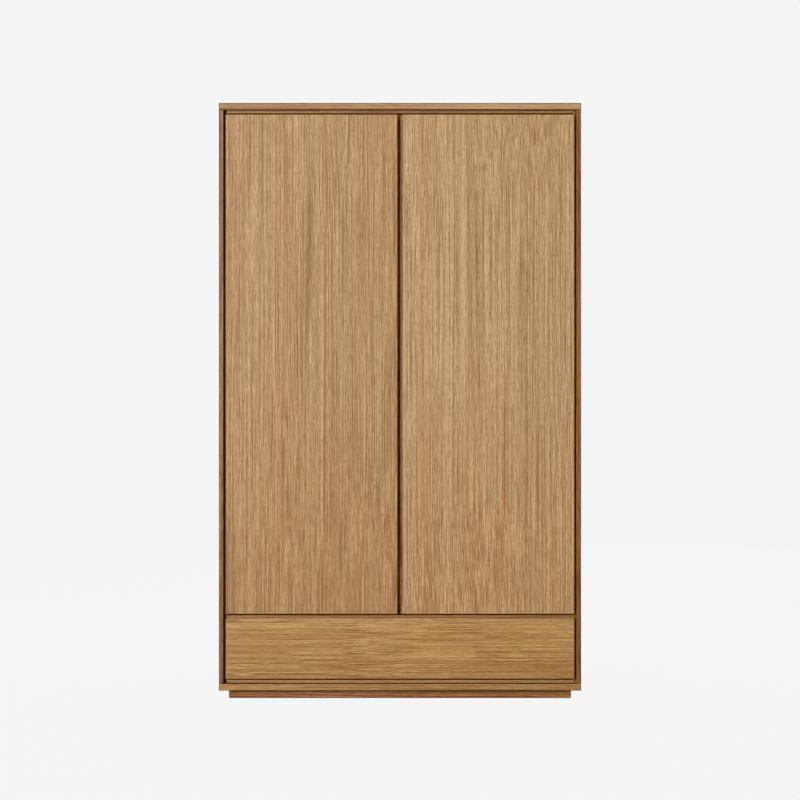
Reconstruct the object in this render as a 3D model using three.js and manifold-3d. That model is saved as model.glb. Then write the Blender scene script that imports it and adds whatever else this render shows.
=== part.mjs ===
/**
 * Armoire: two inset doors above one full-width drawer, standing on a recessed plinth.
 *
 * Millimetres. +X to the right, the front faces -Y, +Z up.
 * Origin: centre of the footprint, on the floor.
 *
 * "side" is -1 for the left half and +1 for the right half, seen from the front.
 */
import * as THREE from 'three';
import { mergeVertices } from 'three/addons/utils/BufferGeometryUtils.js';
import Module from 'manifold-3d';

const wasm = await Module();
wasm.setup();

// ---------------------------------------------------------------- driving dimensions

const WIDTH = 1156;
const DEPTH = 600;
const HEIGHT = 1903;
const BOARD = 21; // top, bottom, sides and deck
const THIN_BOARD = 18; // rails, shelves, partition and plinth
const BACK_BOARD = 6;
const FIT_GAP = 0.3; // clearance of a piece let into its neighbour
const BORE_SEGMENTS = 32;

// Heights, from the floor up
const PLINTH_HEIGHT = 28;
const PLINTH_INSET = 30;
const GAP_BELOW_DRAWER = 17;
const DRAWER_FRONT_HEIGHT = 193;
const GAP_ABOVE_DRAWER = 14;
const GAP_ABOVE_DOORS = 16;

// Doors, and the rebate in the sides that they shut into
const SIDE_FRONT_STEP = 3; // side edges stand back from the top and bottom boards
const FRONT_THICKNESS = 20; // doors and drawer front
const REBATE_WIDTH = 6;
const REBATE_DEPTH = 22;
const SIDE_GAP = 7;
const CENTRE_GAP = 17;
const BACK_REBATE_WIDTH = 10;
const BACK_GAP = 0.5; // play round each back board

// Rails behind the edges of the doors and of the drawer front
const TOP_RAIL_HEIGHT = 29;
const BOTTOM_RAIL_HEIGHT = 26;
const DECK_UNDERLAP = 4; // deck underside lies this far below the drawer front's top edge

// Shelves and clothes rail
const SHELF_FRONT_INSET = 30; // behind the front edge of the partition
const SHELF_SIDE_PLAY = 0.75; // at each end of an adjustable shelf
const SHELF_BACK_PLAY = 3;
const SHELF_SPACES = 4; // spaces between the deck and the top, right compartment
const HAT_SHELF_DROP = 276; // from the underside of the top board to the hat shelf's upper face
const PIN_RADIUS = 2.5;
const PIN_HEAD_RADIUS = 3.5;
const PIN_IN_BOARD = 9.5;
const PIN_REACH = 9;
const PIN_SEGMENTS = 16;
const PIN_EDGE_DISTANCE = 60; // from the shelf's front and back edges
const RAIL_DROP = 60; // clothes rail axis below the hat shelf
const RAIL_RADIUS = 12.5;
const RAIL_WALL = 1.5;
const SOCKET_FLANGE_RADIUS = 22;
const SOCKET_FLANGE = 3;
const SOCKET_COLLAR_RADIUS = 15.5;
const SOCKET_LENGTH = 14;

// Concealed hinges, placed from the door's outer edge and from its front face
const HINGE_END_DISTANCE = 110; // from the door's ends to the lower and upper hinges
const MIDDLE_HINGE_DROP = 66.5; // middle hinge below the door's mid-height, clear of the fixed shelf
const CUP_CENTRE = 22;
const CUP_BORE_RADIUS = 17.5;
const CUP_BORE_DEPTH = 11.5;
const CUP_WALL = 1;
const CUP_FLANGE = { width: 38, height: 62, thickness: 1.2, corner: 8 };
const CUP_SCREW_DISTANCE = 24;
const SCREW_HOLE_RADIUS = 2.1;
const ARM_WIDTH = 14;
const ARM_BACK_INSET = 4; // from the back end of the plate
const PLATE = { length: 54, width: 16, wingLength: 48, wingWidth: 14, thickness: 5 };
const PLATE_START = 38; // behind the door's front face
const PLATE_HOLE_DISTANCE = 16;

// Drawer box and its three-part runners
const DRAWER_SIDE_THICKNESS = 15;
const DRAWER_SIDE_HEIGHT = 140;
const DRAWER_DEPTH = 500; // behind the drawer front
const DRAWER_LIFT = 36; // box underside above the bottom board
const DRAWER_BOTTOM_THICKNESS = 8;
const DRAWER_BOTTOM_LIFT = 10; // above the underside of the drawer sides
const GROOVE_DEPTH = 6.3;
const RUNNER_SPACE = 13; // between a case side and a drawer side
const RUNNER_STEEL = 1.4;
const RUNNER_LIFT = 58; // runner's mid-height above the underside of the drawer sides

// Derived planes
const HALF_WIDTH = WIDTH / 2;
const FRONT = -DEPTH / 2;
const BACK = DEPTH / 2;
const BOTTOM_TOP = PLINTH_HEIGHT + BOARD;
const DRAWER_FRONT_BASE = BOTTOM_TOP + GAP_BELOW_DRAWER;
const DRAWER_FRONT_TOP = DRAWER_FRONT_BASE + DRAWER_FRONT_HEIGHT;
const DOOR_BASE = DRAWER_FRONT_TOP + GAP_ABOVE_DRAWER;
const CEILING = HEIGHT - BOARD;
const DOOR_TOP = CEILING - GAP_ABOVE_DOORS;
const SIDE_FRONT = FRONT + SIDE_FRONT_STEP;
const DOOR_BACK = SIDE_FRONT + FRONT_THICKNESS;
const REBATE_FLOOR = SIDE_FRONT + REBATE_DEPTH;
const INNER_X = HALF_WIDTH - BOARD;
const REBATE_X = INNER_X + REBATE_WIDTH;
const FRONT_EDGE_X = REBATE_X - SIDE_GAP; // outer edge of doors and drawer front
const BACK_BOARD_FRONT = BACK - BACK_BOARD;
const PARTITION_X = THIN_BOARD / 2;
const DECK_BASE = DRAWER_FRONT_TOP - DECK_UNDERLAP;
const DECK_TOP = DECK_BASE + BOARD;
const SHELF_FRONT = REBATE_FLOOR + SHELF_FRONT_INSET;
const SHELF_PITCH = (CEILING - DECK_TOP + THIN_BOARD) / SHELF_SPACES;

// ---------------------------------------------------------------- finishes

const finish = (color, roughness, metalness = 0) =>
  new THREE.MeshStandardMaterial({ color, roughness, metalness });

const DOOR_OAK = finish(0xb18a60, 0.6);
const DRAWER_OAK = finish(0xa5784a, 0.6);
const BOARD_OAK = finish(0xae855c, 0.6);
const SIDE_OAK = finish(0x966a3e, 0.62);
const PLINTH_OAK = finish(0x94643b, 0.65);
const INNER_OAK = finish(0xb89468, 0.65);
const BACK_OAK = finish(0xbb9a70, 0.7);
const DRAWER_BOX_BIRCH = finish(0xcfb48a, 0.6);
const NICKEL = finish(0xc4c4c0, 0.3, 1);
const RUNNER_ZINC = finish(0xa8abad, 0.38, 1);
const RAIL_STEEL = finish(0xb7b9bb, 0.25, 1);

// ---------------------------------------------------------------- shape helpers

const X = new THREE.Vector3(1, 0, 0);
const Y = new THREE.Vector3(0, 1, 0);
const Z = new THREE.Vector3(0, 0, 1);

// An outline is drawn in the two axes that follow the extrusion axis, in the order X, Y, Z, X.
const EXTRUSION_FRAMES = {
  x: new THREE.Matrix4().makeBasis(Y, Z, X),
  y: new THREE.Matrix4().makeBasis(Z, X, Y),
  z: new THREE.Matrix4(),
};

function addPiece(parent, name, geometry, material, position = [0, 0, 0]) {
  const piece = new THREE.Mesh(geometry, material);
  piece.name = name;
  piece.position.set(...position);
  parent.add(piece);
  return piece;
}

/** A square-edged board that fills the three given ranges. */
function addBoard(parent, name, material, xRange, yRange, zRange) {
  const ranges = [xRange, yRange, zRange];
  const size = ranges.map(([low, high]) => high - low);
  const centre = ranges.map(([low, high]) => (low + high) / 2);
  return addPiece(parent, name, new THREE.BoxGeometry(...size), material, centre);
}

/** The X range between two distances from the middle plane, on the given side. */
function sideRange(side, inner, outer) {
  return side < 0 ? [-outer, -inner] : [inner, outer];
}

function shapeOf(points, holes = []) {
  const shape = new THREE.Shape(points.map(([a, b]) => new THREE.Vector2(a, b)));
  shape.holes = holes;
  return shape;
}

function roundHole(centreA, centreB, radius) {
  return new THREE.Path().absarc(centreA, centreB, radius, 0, 2 * Math.PI, true);
}

function roundedRectangle(width, height, corner) {
  const a = width / 2 - corner;
  const b = height / 2 - corner;
  const shape = new THREE.Shape();
  shape.absarc(a, b, corner, 0, Math.PI / 2);
  shape.absarc(-a, b, corner, Math.PI / 2, Math.PI);
  shape.absarc(-a, -b, corner, Math.PI, 1.5 * Math.PI);
  shape.absarc(a, -b, corner, 1.5 * Math.PI, 2 * Math.PI);
  shape.closePath();
  return shape;
}

function extrude(shape, axis, length, curveSegments = 6) {
  const geometry = new THREE.ExtrudeGeometry(shape, {
    depth: length,
    bevelEnabled: false,
    curveSegments,
  });
  return geometry.applyMatrix4(EXTRUSION_FRAMES[axis]);
}

function solidOf(geometry) {
  const bare = geometry.clone();
  bare.deleteAttribute('normal');
  bare.deleteAttribute('uv');
  const merged = mergeVertices(bare, 1e-4);
  return new wasm.Manifold(
    new wasm.Mesh({
      numProp: 3,
      vertProperties: new Float32Array(merged.attributes.position.array),
      triVerts: new Uint32Array(merged.index.array),
    }),
  );
}

function geometryOf(solid) {
  const mesh = solid.getMesh();
  const geometry = new THREE.BufferGeometry();
  geometry.setAttribute('position', new THREE.BufferAttribute(mesh.vertProperties, 3));
  geometry.setIndex(new THREE.BufferAttribute(mesh.triVerts, 1));
  geometry.computeVertexNormals();
  return geometry;
}

function cutAway(geometry, cutters) {
  const cut = cutters.reduce((solid, cutter) => solid.subtract(solidOf(cutter)), solidOf(geometry));
  return geometryOf(cut);
}

// ---------------------------------------------------------------- case

/** Heights of the undersides of the three shelves in the right compartment. */
const SHELF_BASES = [1, 2, 3].map((step) => DECK_TOP + step * SHELF_PITCH - THIN_BOARD);
const [LOWER_SHELF_BASE, FIXED_SHELF_BASE, UPPER_SHELF_BASE] = SHELF_BASES;
const ADJUSTABLE_SHELVES = { lower: LOWER_SHELF_BASE, upper: UPPER_SHELF_BASE };
const SHELF_BACK = BACK_BOARD_FRONT - SHELF_BACK_PLAY;
const PIN_ROWS = [SHELF_FRONT + PIN_EDGE_DISTANCE, SHELF_BACK - PIN_EDGE_DISTANCE];

/** Drills for the shelf pins' blind holes, each centred on the board's face at x. */
function pinHoles(x) {
  const depth = PIN_IN_BOARD + FIT_GAP;
  return Object.values(ADJUSTABLE_SHELVES).flatMap((base) =>
    PIN_ROWS.map((y) => {
      const radius = PIN_RADIUS + FIT_GAP;
      const drill = new THREE.CylinderGeometry(radius, radius, 2 * depth, PIN_SEGMENTS);
      return drill.applyMatrix4(EXTRUSION_FRAMES.y).translate(x, y, base - PIN_HEAD_RADIUS);
    }),
  );
}

function sidePanelGeometry(side) {
  const outline = [
    [HALF_WIDTH, SIDE_FRONT],
    [REBATE_X, SIDE_FRONT],
    [REBATE_X, REBATE_FLOOR],
    [INNER_X, REBATE_FLOOR],
    [INNER_X, BACK_BOARD_FRONT],
    [INNER_X + BACK_REBATE_WIDTH, BACK_BOARD_FRONT],
    [INNER_X + BACK_REBATE_WIDTH, BACK],
    [HALF_WIDTH, BACK],
  ];
  const mirrored = outline.map(([x, y]) => [side * x, y]);
  const panel = extrude(shapeOf(mirrored), 'z', CEILING - BOTTOM_TOP).translate(0, 0, BOTTOM_TOP);
  return side < 0 ? panel : cutAway(panel, pinHoles(INNER_X));
}

/** The middle board, notched at its upper front corner round the top rail. */
function partitionGeometry() {
  const outline = [
    [REBATE_FLOOR, DECK_TOP],
    [BACK_BOARD_FRONT, DECK_TOP],
    [BACK_BOARD_FRONT, CEILING],
    [REBATE_FLOOR + THIN_BOARD, CEILING],
    [REBATE_FLOOR + THIN_BOARD, CEILING - TOP_RAIL_HEIGHT],
    [REBATE_FLOOR, CEILING - TOP_RAIL_HEIGHT],
  ];
  const board = extrude(shapeOf(outline), 'x', THIN_BOARD).translate(-PARTITION_X, 0, 0);
  return cutAway(board, pinHoles(PARTITION_X));
}

function addCase(parent) {
  const fullWidth = [-HALF_WIDTH, HALF_WIDTH];
  const innerWidth = [-INNER_X, INNER_X];
  const railDepth = [REBATE_FLOOR, REBATE_FLOOR + THIN_BOARD];
  const deckDepth = [REBATE_FLOOR, BACK_BOARD_FRONT];

  addBoard(parent, 'top_panel', BOARD_OAK, fullWidth, [FRONT, BACK], [CEILING, HEIGHT]);
  addBoard(parent, 'bottom_panel', BOARD_OAK, fullWidth, [FRONT, BACK], [PLINTH_HEIGHT, BOTTOM_TOP]);
  addPiece(parent, 'side_panel_left', sidePanelGeometry(-1), SIDE_OAK);
  addPiece(parent, 'side_panel_right', sidePanelGeometry(1), SIDE_OAK);
  addPiece(parent, 'centre_partition', partitionGeometry(), INNER_OAK);
  addBoard(parent, 'deck_panel', INNER_OAK, innerWidth, deckDepth, [DECK_BASE, DECK_TOP]);
  const topRailHeights = [CEILING - TOP_RAIL_HEIGHT, CEILING];
  const bottomRailHeights = [BOTTOM_TOP, BOTTOM_TOP + BOTTOM_RAIL_HEIGHT];
  addBoard(parent, 'top_rail', SIDE_OAK, innerWidth, railDepth, topRailHeights);
  addBoard(parent, 'bottom_rail', SIDE_OAK, innerWidth, railDepth, bottomRailHeights);
}

function addBackBoards(parent) {
  const depth = [BACK_BOARD_FRONT, BACK];
  const heights = [BOTTOM_TOP + BACK_GAP, CEILING - BACK_GAP];
  const outer = INNER_X + BACK_REBATE_WIDTH - BACK_GAP;
  addBoard(parent, 'back_panel_left', BACK_OAK, sideRange(-1, BACK_GAP, outer), depth, heights);
  addBoard(parent, 'back_panel_right', BACK_OAK, sideRange(1, BACK_GAP, outer), depth, heights);
}

function addPlinth(parent) {
  const outerX = HALF_WIDTH - PLINTH_INSET;
  const outerY = BACK - PLINTH_INSET;
  const innerX = outerX - THIN_BOARD;
  const innerY = outerY - THIN_BOARD;
  const heights = [0, PLINTH_HEIGHT];
  addBoard(parent, 'plinth_front', PLINTH_OAK, [-outerX, outerX], [-outerY, -innerY], heights);
  addBoard(parent, 'plinth_back', PLINTH_OAK, [-outerX, outerX], [innerY, outerY], heights);
  addBoard(parent, 'plinth_left', PLINTH_OAK, [-outerX, -innerX], [-innerY, innerY], heights);
  addBoard(parent, 'plinth_right', PLINTH_OAK, [innerX, outerX], [-innerY, innerY], heights);
}

// ---------------------------------------------------------------- shelves and clothes rail

function pinGeometry() {
  const profile = [
    [0, -PIN_IN_BOARD],
    [PIN_RADIUS, -PIN_IN_BOARD],
    [PIN_RADIUS, FIT_GAP],
    [PIN_HEAD_RADIUS, FIT_GAP],
    [PIN_HEAD_RADIUS, PIN_REACH],
    [0, PIN_REACH],
  ];
  const points = profile.map(([radius, along]) => new THREE.Vector2(radius, along));
  return new THREE.LatheGeometry(points, PIN_SEGMENTS).applyMatrix4(EXTRUSION_FRAMES.y);
}

function addShelves(parent) {
  const boardBetween = (inner, outer, back, base, name) =>
    addBoard(parent, name, INNER_OAK, [inner, outer], [SHELF_FRONT, back], [base, base + THIN_BOARD]);

  const hatShelfBase = CEILING - HAT_SHELF_DROP - THIN_BOARD;
  boardBetween(-INNER_X, -PARTITION_X, BACK_BOARD_FRONT, hatShelfBase, 'hat_shelf');
  boardBetween(PARTITION_X, INNER_X, BACK_BOARD_FRONT, FIXED_SHELF_BASE, 'fixed_shelf');

  for (const [level, base] of Object.entries(ADJUSTABLE_SHELVES)) {
    const inner = PARTITION_X + SHELF_SIDE_PLAY;
    const outer = INNER_X - SHELF_SIDE_PLAY;
    boardBetween(inner, outer, SHELF_BACK, base, `${level}_shelf`);
    addShelfPins(parent, level, base - PIN_HEAD_RADIUS);
  }
}

function addShelfPins(parent, level, z) {
  PIN_ROWS.forEach((y, row) => {
    const place = row === 0 ? 'front' : 'back';
    addPiece(parent, `${level}_pin_inner_${place}`, pinGeometry(), NICKEL, [PARTITION_X, y, z]);
    const outer = addPiece(parent, `${level}_pin_outer_${place}`, pinGeometry(), NICKEL, [INNER_X, y, z]);
    outer.rotation.z = Math.PI;
  });
}

/** A flanged cup that holds one end of the clothes rail; it opens towards +X. */
function socketGeometry() {
  const bore = RAIL_RADIUS + FIT_GAP;
  const profile = [
    [0, 0],
    [SOCKET_FLANGE_RADIUS, 0],
    [SOCKET_FLANGE_RADIUS, SOCKET_FLANGE],
    [SOCKET_COLLAR_RADIUS, SOCKET_FLANGE],
    [SOCKET_COLLAR_RADIUS, SOCKET_LENGTH],
    [bore, SOCKET_LENGTH],
    [bore, SOCKET_FLANGE],
    [0, SOCKET_FLANGE],
  ];
  const points = profile.map(([radius, along]) => new THREE.Vector2(radius, along));
  return new THREE.LatheGeometry(points, BORE_SEGMENTS).applyMatrix4(EXTRUSION_FRAMES.y);
}

function addClothesRail(parent) {
  const z = CEILING - HAT_SHELF_DROP - THIN_BOARD - RAIL_DROP;
  const ringShape = new THREE.Shape();
  ringShape.absarc(0, 0, RAIL_RADIUS, 0, 2 * Math.PI);
  ringShape.holes = [roundHole(0, 0, RAIL_RADIUS - RAIL_WALL)];
  const start = SOCKET_FLANGE + FIT_GAP;
  const length = INNER_X - PARTITION_X - 2 * start;
  const tube = extrude(ringShape, 'x', length, BORE_SEGMENTS);
  addPiece(parent, 'clothes_rail', tube, RAIL_STEEL, [-INNER_X + start, 0, z]);
  addPiece(parent, 'rail_socket_left', socketGeometry(), NICKEL, [-INNER_X, 0, z]);
  const inner = addPiece(parent, 'rail_socket_right', socketGeometry(), NICKEL, [-PARTITION_X, 0, z]);
  inner.rotation.z = Math.PI;
}

// ---------------------------------------------------------------- doors and hinges

const DOOR_MIDDLE = (DOOR_BASE + DOOR_TOP) / 2;
const HINGE_HEIGHTS = {
  lower: DOOR_BASE + HINGE_END_DISTANCE,
  middle: DOOR_MIDDLE - MIDDLE_HINGE_DROP,
  upper: DOOR_TOP - HINGE_END_DISTANCE,
};

/** X at a distance from the door's outer edge, measured towards the middle of the armoire. */
const fromDoorEdge = (side, distance) => side * (FRONT_EDGE_X - distance);

function addDoor(parent, side, sideName) {
  const [x0, x1] = sideRange(side, CENTRE_GAP / 2, FRONT_EDGE_X);
  const slab = new THREE.BoxGeometry(x1 - x0, FRONT_THICKNESS, DOOR_TOP - DOOR_BASE);
  slab.translate((x0 + x1) / 2, (SIDE_FRONT + DOOR_BACK) / 2, DOOR_MIDDLE);
  const bores = Object.values(HINGE_HEIGHTS).map((z) => {
    const drill = new THREE.CylinderGeometry(
      CUP_BORE_RADIUS,
      CUP_BORE_RADIUS,
      2 * CUP_BORE_DEPTH,
      BORE_SEGMENTS,
    );
    return drill.translate(fromDoorEdge(side, CUP_CENTRE), DOOR_BACK, z);
  });
  addPiece(parent, `door_${sideName}`, cutAway(slab, bores), DOOR_OAK);
}

/** The pressed cup, sunk into the door's back, and the flange that it is screwed down by. */
function hingeCupGeometry() {
  const outerRadius = CUP_BORE_RADIUS - FIT_GAP;
  const innerRadius = outerRadius - CUP_WALL;
  const bottom = FIT_GAP - CUP_BORE_DEPTH;
  const profile = [
    [0, bottom],
    [outerRadius, bottom],
    [outerRadius, CUP_FLANGE.thickness],
    [innerRadius, CUP_FLANGE.thickness],
    [innerRadius, bottom + CUP_WALL],
    [0, bottom + CUP_WALL],
  ];
  const points = profile.map(([radius, along]) => new THREE.Vector2(radius, along));
  const cup = new THREE.LatheGeometry(points, BORE_SEGMENTS);
  const outline = roundedRectangle(CUP_FLANGE.height, CUP_FLANGE.width, CUP_FLANGE.corner);
  outline.holes = [roundHole(0, 0, outerRadius - CUP_WALL / 2)];
  for (const end of [-1, 1]) {
    outline.holes.push(roundHole(end * CUP_SCREW_DISTANCE, 0, SCREW_HOLE_RADIUS));
  }
  const flange = extrude(outline, 'y', CUP_FLANGE.thickness);
  return geometryOf(solidOf(cup).add(solidOf(flange)));
}

/**
 * The fixed arm: a cranked strip that starts inside the cup and runs back along the case side.
 * Its outline is in distance from the door's outer edge and depth behind the door's front face.
 */
function hingeArmGeometry(side) {
  const seat = PLATE.thickness - (INNER_X - FRONT_EDGE_X);
  const armBack = PLATE_START + PLATE.length - ARM_BACK_INSET;
  const outline = [
    [19, 14],
    [26, 14],
    [26, 25],
    [13, 42],
    [13, armBack],
    [seat, armBack],
    [seat, 36],
    [19, 24],
  ];
  const placed = outline.map(([inwards, depth]) => [fromDoorEdge(side, inwards), SIDE_FRONT + depth]);
  return extrude(shapeOf(placed), 'z', ARM_WIDTH).translate(0, 0, -ARM_WIDTH / 2);
}

/** The cross-shaped plate that carries the arm, with a screw hole in each wing. */
function hingePlateGeometry() {
  const { length, width, wingLength, wingWidth, thickness } = PLATE;
  const a = length / 2;
  const b = width / 2;
  const wingA = wingWidth / 2;
  const wingB = wingLength / 2;
  const outline = [
    [-a, -b],
    [-wingA, -b],
    [-wingA, -wingB],
    [wingA, -wingB],
    [wingA, -b],
    [a, -b],
    [a, b],
    [wingA, b],
    [wingA, wingB],
    [-wingA, wingB],
    [-wingA, b],
    [-a, b],
  ];
  const holes = [-1, 1].map((end) => roundHole(0, end * PLATE_HOLE_DISTANCE, SCREW_HOLE_RADIUS));
  return extrude(shapeOf(outline, holes), 'x', thickness);
}

function addHinges(parent, side, sideName) {
  const plateX = side < 0 ? -INNER_X : INNER_X - PLATE.thickness;
  const plateY = SIDE_FRONT + PLATE_START + PLATE.length / 2;
  for (const [level, z] of Object.entries(HINGE_HEIGHTS)) {
    const tag = `${sideName}_${level}`;
    const cupX = fromDoorEdge(side, CUP_CENTRE);
    addPiece(parent, `hinge_cup_${tag}`, hingeCupGeometry(), NICKEL, [cupX, DOOR_BACK, z]);
    addPiece(parent, `hinge_arm_${tag}`, hingeArmGeometry(side), NICKEL, [0, 0, z]);
    addPiece(parent, `hinge_plate_${tag}`, hingePlateGeometry(), NICKEL, [plateX, plateY, z]);
  }
}

// ---------------------------------------------------------------- drawer and runners

const BOX_BASE = BOTTOM_TOP + DRAWER_LIFT;
const BOX_OUTER_X = INNER_X - RUNNER_SPACE;
const BOX_BACK = DOOR_BACK + DRAWER_DEPTH;

function drawerSideGeometry(side) {
  const outer = BOX_OUTER_X;
  const inner = outer - DRAWER_SIDE_THICKNESS;
  const grooveLow = DRAWER_BOTTOM_LIFT - FIT_GAP;
  const grooveHigh = DRAWER_BOTTOM_LIFT + DRAWER_BOTTOM_THICKNESS + FIT_GAP;
  const outline = [
    [0, inner],
    [grooveLow, inner],
    [grooveLow, inner + GROOVE_DEPTH],
    [grooveHigh, inner + GROOVE_DEPTH],
    [grooveHigh, inner],
    [DRAWER_SIDE_HEIGHT, inner],
    [DRAWER_SIDE_HEIGHT, outer],
    [0, outer],
  ];
  const mirrored = outline.map(([z, x]) => [z, side * x]);
  return extrude(shapeOf(mirrored), 'y', DRAWER_DEPTH);
}

function addDrawer(parent) {
  const frontHeights = [DRAWER_FRONT_BASE, DRAWER_FRONT_TOP];
  const frontWidth = [-FRONT_EDGE_X, FRONT_EDGE_X];
  addBoard(parent, 'drawer_front', DRAWER_OAK, frontWidth, [SIDE_FRONT, DOOR_BACK], frontHeights);

  const sidePlace = [0, DOOR_BACK, BOX_BASE];
  addPiece(parent, 'drawer_side_left', drawerSideGeometry(-1), DRAWER_BOX_BIRCH, sidePlace);
  addPiece(parent, 'drawer_side_right', drawerSideGeometry(1), DRAWER_BOX_BIRCH, sidePlace);

  const innerX = BOX_OUTER_X - DRAWER_SIDE_THICKNESS;
  const bottomX = innerX + GROOVE_DEPTH - FIT_GAP;
  const bottomBase = BOX_BASE + DRAWER_BOTTOM_LIFT;
  const bottomTop = bottomBase + DRAWER_BOTTOM_THICKNESS;
  addBoard(parent, 'drawer_bottom', DRAWER_BOX_BIRCH,
    [-bottomX, bottomX], [DOOR_BACK + FIT_GAP, BOX_BACK], [bottomBase, bottomTop]);
  addBoard(parent, 'drawer_back', DRAWER_BOX_BIRCH,
    [-innerX, innerX],
    [BOX_BACK - DRAWER_SIDE_THICKNESS, BOX_BACK],
    [bottomTop + FIT_GAP, BOX_BASE + DRAWER_SIDE_HEIGHT]);
}

/**
 * The three nested steel channels of one runner. "web" and "lip" are distances from the case
 * side towards the drawer, and "start" and "end" are depths behind the back of the drawer front.
 */
const RUNNER_CHANNELS = {
  cabinet: { web: 0, lip: 9.8, halfHeight: 22.5, start: 5, end: 499 },
  middle: { web: 3.5, lip: 10.4, halfHeight: 18.5, start: 9, end: 483 },
  drawer: { web: RUNNER_SPACE, lip: 6.4, halfHeight: 13.5, start: FIT_GAP, end: 470 },
};

function addRunner(parent, side, sideName) {
  for (const [part, { web, lip, halfHeight, start, end }] of Object.entries(RUNNER_CHANNELS)) {
    const steel = Math.sign(lip - web) * RUNNER_STEEL;
    const lipInside = halfHeight - RUNNER_STEEL;
    const outline = [
      [-halfHeight, web],
      [-halfHeight, lip],
      [-lipInside, lip],
      [-lipInside, web + steel],
      [lipInside, web + steel],
      [lipInside, lip],
      [halfHeight, lip],
      [halfHeight, web],
    ];
    const placed = outline.map(([z, offset]) => [z, side * (INNER_X - offset)]);
    const channel = extrude(shapeOf(placed), 'y', end - start);
    const position = [0, DOOR_BACK + start, BOX_BASE + RUNNER_LIFT];
    addPiece(parent, `runner_${part}_${sideName}`, channel, RUNNER_ZINC, position);
  }
}

// ---------------------------------------------------------------- assembly

const armoire = new THREE.Group();
addCase(armoire);
addBackBoards(armoire);
addPlinth(armoire);
addShelves(armoire);
addClothesRail(armoire);
for (const [sideName, side] of [['left', -1], ['right', 1]]) {
  addDoor(armoire, side, sideName);
  addHinges(armoire, side, sideName);
  addRunner(armoire, side, sideName);
}
addDrawer(armoire);

export default armoire;
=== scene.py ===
"""Looks of the armoire: eased oak boards, doors, drawer and steel fittings round the fixed CAD frame.

Metres. +X to the right, the front faces -Y, +Z up. Every piece's place comes from the frame.
"""

import math
import random

import bmesh
import bpy
from mathutils import Matrix, Vector


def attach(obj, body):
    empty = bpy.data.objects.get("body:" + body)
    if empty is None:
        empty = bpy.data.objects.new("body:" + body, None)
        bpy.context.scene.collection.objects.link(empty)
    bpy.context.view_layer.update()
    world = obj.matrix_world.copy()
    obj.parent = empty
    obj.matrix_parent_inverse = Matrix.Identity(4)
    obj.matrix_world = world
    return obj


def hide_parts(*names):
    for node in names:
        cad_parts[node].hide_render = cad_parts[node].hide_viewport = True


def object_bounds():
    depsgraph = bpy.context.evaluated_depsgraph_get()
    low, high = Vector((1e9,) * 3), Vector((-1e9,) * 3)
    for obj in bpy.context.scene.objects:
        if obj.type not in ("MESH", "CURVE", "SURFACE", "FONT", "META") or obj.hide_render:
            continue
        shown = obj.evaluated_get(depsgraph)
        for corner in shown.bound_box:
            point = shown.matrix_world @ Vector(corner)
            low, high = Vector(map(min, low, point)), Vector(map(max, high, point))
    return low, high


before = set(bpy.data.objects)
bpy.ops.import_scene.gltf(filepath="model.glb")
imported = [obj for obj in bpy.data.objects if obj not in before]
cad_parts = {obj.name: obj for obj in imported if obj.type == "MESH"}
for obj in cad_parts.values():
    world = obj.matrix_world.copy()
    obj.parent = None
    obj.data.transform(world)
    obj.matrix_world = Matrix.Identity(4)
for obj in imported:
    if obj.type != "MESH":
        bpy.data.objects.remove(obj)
cad_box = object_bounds()

SIDES = ("left", "right")
LEVELS = ("lower", "middle", "upper")
MM = 0.001


# ------------------------------------------------------------------ colours

def srgb(red, green, blue):
    """Linear colour of an 8-bit screen colour."""
    def linear(value):
        value /= 255
        return value / 12.92 if value <= 0.04045 else ((value + 0.055) / 1.055) ** 2.4
    return (linear(red), linear(green), linear(blue), 1.0)


def brighter(tone, factor):
    """The tone times the factor, which may be below 1."""
    return tuple(channel * factor for channel in tone[:3]) + (1.0,)


def blond(tone):
    """A lighter and less saturated neighbour of a wood tone."""
    return tuple(channel * 1.12 + 0.06 for channel in tone[:3]) + (1.0,)


BACKDROP = srgb(245, 245, 245)
FLOOR_SHADING = (0.016, 0.016, 0.016, 1.0)
FLOOR_GLOW = 0.989
FLOOR_PAINT = (0.35, 0.35, 0.35, 1.0)
FLOOR_REACH = 30.0
AMBIENT = 0.12


# ------------------------------------------------------------------ material graph

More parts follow.
